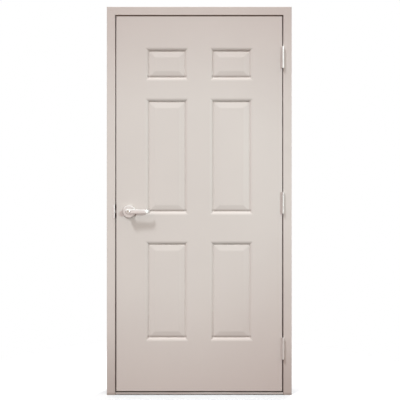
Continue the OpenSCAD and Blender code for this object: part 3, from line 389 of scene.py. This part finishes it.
def sky(axis, start, end, first, last):
    """Light that goes softly over from one strength to another along an axis of the surround."""
    fade = air.nodes.new("ShaderNodeMapRange")
    fade.interpolation_type = "SMOOTHSTEP"
    fade.inputs["From Min"].default_value = start
    fade.inputs["From Max"].default_value = end
    fade.inputs["To Min"].default_value = first
    fade.inputs["To Max"].default_value = last
    air.links.new(towards.outputs[axis], fade.inputs["Value"])
    return fade.outputs["Result"]


reflected = air.nodes.new("ShaderNodeMath")
reflected.operation = "MULTIPLY_ADD"
air.links.new(sky("Z", -0.12, 0.12, 0.8, 0.9), reflected.inputs[0])
air.links.new(sky("Y", -0.95, -0.35, 1.0, 0.55), reflected.inputs[1])
air.links.new(sky("Z", 0.1, 0.65, 0.0, 0.9), reflected.inputs[2])
mirrored = air.nodes.new("ShaderNodeMix")
air.links.new(ray.outputs["Is Glossy Ray"], mirrored.inputs["Factor"])
air.links.new(sky("Z", -0.12, 0.12, 0.087, 0.944), mirrored.inputs["A"])
air.links.new(reflected.outputs["Value"], mirrored.inputs["B"])
seen = air.nodes.new("ShaderNodeMix")
seen.inputs["B"].default_value = 1.0
air.links.new(ray.outputs["Is Camera Ray"], seen.inputs["Factor"])
air.links.new(mirrored.outputs["Result"], seen.inputs["A"])
white = air.nodes.new("ShaderNodeMath")
white.operation = "MULTIPLY_ADD"
air.links.new(ray.outputs["Is Glossy Ray"], white.inputs[0])
air.links.new(sky("Z", 0.0, 0.5, 0.45, 1.0), white.inputs[1])
air.links.new(ray.outputs["Is Camera Ray"], white.inputs[2])
tint = air.nodes.new("ShaderNodeMix")
tint.data_type = "RGBA"
air.links.new(two_tone(air, sky("Z", 0.0, 0.7, 0.0, 1.0), rim_light, crown_light), tint.inputs["A"])
tint.inputs["B"].default_value = (1.0, 1.0, 1.0, 1.0)
air.links.new(white.outputs["Value"], tint.inputs["Factor"])
air.links.new(tint.outputs["Result"], air.nodes["Background"].inputs["Color"])
air.links.new(seen.outputs["Result"], air.nodes["Background"].inputs["Strength"])
bpy.context.scene.world = surround


# Studio lamps. A cool one stands high on the left and one low on the right, with a second beside that for the
# glint of the metal alone. One more lights the back.
def lamp(name, aim, right, up, away, power, colour, beam, fade, radius, lights=True, glints=True):
    """A far, soft lamp at an angle to the right of the door and above the floor, whose beam fades at its rim.

    It can be set only to light the surfaces, or only to glint in them.
    """
    turn, rise = math.radians(right), math.radians(up)
    side = Vector((math.sin(turn) * math.cos(rise), -math.cos(turn) * math.cos(rise), math.sin(rise)))
    light = bpy.data.lights.new(name, "SPOT")
    light.energy = power
    light.spot_size = math.radians(beam)
    light.spot_blend = fade
    light.shadow_soft_size = radius
    light.color = colour
    holder = bpy.data.objects.new(name, light)
    holder.location = Vector(aim) + side * away
    holder.rotation_euler = (-side).to_track_quat("-Z", "Y").to_euler()
    holder.visible_diffuse = lights
    holder.visible_glossy = glints
    bpy.context.scene.collection.objects.link(holder)


high_light, low_light = (0.88, 0.95, 1.0), (0.76, 0.985, 1.0)
lamp("high_lamp", aim=(0.0, -0.06, 1.45), right=-38.0, up=52.0, away=20.0, power=9900.0, colour=high_light,
     beam=14.0, fade=0.3, radius=1.6, glints=False)
lamp("low_lamp", aim=(-0.12, -0.06, 1.1), right=34.0, up=10.0, away=8.0, power=1010.0, colour=low_light,
     beam=14.7, fade=0.42, radius=0.45, glints=False)
lamp("low_glint", aim=(0.1, -0.06, 0.9), right=34.0, up=10.0, away=8.0, power=420.0, colour=low_light,
     beam=24.0, fade=0.5, radius=0.45, lights=False)
lamp("back_lamp", aim=(0.0, 0.06, 1.1), right=150.0, up=38.0, away=12.0, power=4000.0, colour=high_light,
     beam=24.0, fade=0.5, radius=0.8, glints=False)

# Camera. It stands level in front of the door, at the photograph's distance and height, and is shifted up to
# the photograph's frame.
image_px = 400
photo_scale = 2.168 / image_px
camera_back, camera_height, door_front = 3.3, 1.0, -0.062
seen_centre = (0.0041, 1.0569)
camera_data = bpy.data.cameras.new("photo_camera")
camera_data.sensor_width = 36.0
camera_data.lens = 36.0 * camera_back / (photo_scale * image_px)
camera_data.shift_y = (seen_centre[1] - camera_height) / (photo_scale * image_px)
camera = bpy.data.objects.new("photo_camera", camera_data)
camera.location = (seen_centre[0], door_front - camera_back, camera_height)
camera.rotation_euler = (math.pi / 2, 0.0, 0.0)
bpy.context.scene.collection.objects.link(camera)
bpy.context.scene.camera = camera
bpy.context.scene.view_settings.view_transform = "Standard"
